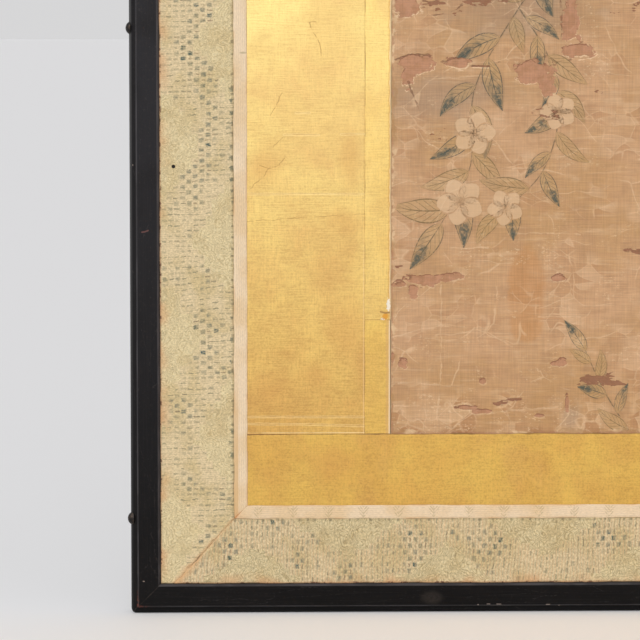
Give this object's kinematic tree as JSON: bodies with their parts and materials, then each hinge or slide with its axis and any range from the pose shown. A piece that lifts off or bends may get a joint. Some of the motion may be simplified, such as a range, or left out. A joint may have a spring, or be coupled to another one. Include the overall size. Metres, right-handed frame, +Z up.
{
  "type": "folding screen",
  "caption": "Folding screen that stands in a shallow V: lacquered frames, cloth and ribbon borders, a gold ground round an inset picture, and paper hinges that fold both ways.",
  "frame": {"origin": "on the floor, under the middle of the screen's outline as it stands open", "axes": "+Z up; +X along the screen, from the left panel to the right; the pictures face -Y"},
  "size_m": [1.1564, 0.2841, 1.1114],
  "materials": {
    "cedar": "matte",
    "lacquer": "semi-gloss",
    "underpaper": "matte",
    "hinge_paper": "matte",
    "back_paper": "matte",
    "gold": "satin",
    "gold_strip": "satin",
    "silk": "matte",
    "ribbon": "matte",
    "brocade": "matte",
    "tack_iron": "satin",
    "nail_steel": "matte"
  },
  "bodies": {
    "left_panel": {"left_back_paper": "back_paper", "left_back_underpaper": "underpaper", "left_brocade_bottom": "brocade", "left_brocade_side": "brocade", "left_brocade_top": "brocade", "left_core_bottom_rail": "cedar", "left_core_hinge_stile": "cedar", "left_core_outer_stile": "cedar", "left_core_top_rail": "cedar", "left_frame_bottom_rail": "lacquer", "left_frame_stile": "lacquer", "left_frame_top_rail": "lacquer", "left_front_underpaper": "underpaper", "left_gold_bands": "gold", "left_gold_sides": "gold", "left_gold_strips": "gold_strip", "left_hinge_wings": "hinge_paper", "left_lattice_crossbars": "cedar", "left_lattice_uprights": "cedar", "left_picture": "silk", "left_rail_nails": "nail_steel", "left_ribbon_bottom": "ribbon", "left_ribbon_side": "ribbon", "left_ribbon_top": "ribbon", "left_tacks": "tack_iron", "hinge_strips_b": "hinge_paper"},
    "hinge_leaf": {"hinge_strips_a": "hinge_paper"},
    "right_panel": {"right_back_paper": "back_paper", "right_back_underpaper": "underpaper", "right_brocade_bottom": "brocade", "right_brocade_side": "brocade", "right_brocade_top": "brocade", "right_core_bottom_rail": "cedar", "right_core_hinge_stile": "cedar", "right_core_outer_stile": "cedar", "right_core_top_rail": "cedar", "right_frame_bottom_rail": "lacquer", "right_frame_stile": "lacquer", "right_frame_top_rail": "lacquer", "right_front_underpaper": "underpaper", "right_gold_bands": "gold", "right_gold_sides": "gold", "right_gold_strips": "gold_strip", "right_hinge_wings": "hinge_paper", "right_lattice_crossbars": "cedar", "right_lattice_uprights": "cedar", "right_picture": "silk", "right_rail_nails": "nail_steel", "right_ribbon_bottom": "ribbon", "right_ribbon_side": "ribbon", "right_ribbon_top": "ribbon", "right_tacks": "tack_iron"}
  },
  "joints": [
    {"name": "fold_forward", "type": "hinge", "parent": "hinge_leaf", "child": "left_panel", "pos_m": [0, 0.12409, 0], "axis": [0, 0, 1], "range_deg": [-50, 130]},
    {"name": "fold_backward", "type": "hinge", "parent": "hinge_leaf", "child": "right_panel", "pos_m": [0.00858, 0.14249, 0], "axis": [0, 0, 1], "range_deg": [0, 180]}
  ]
}
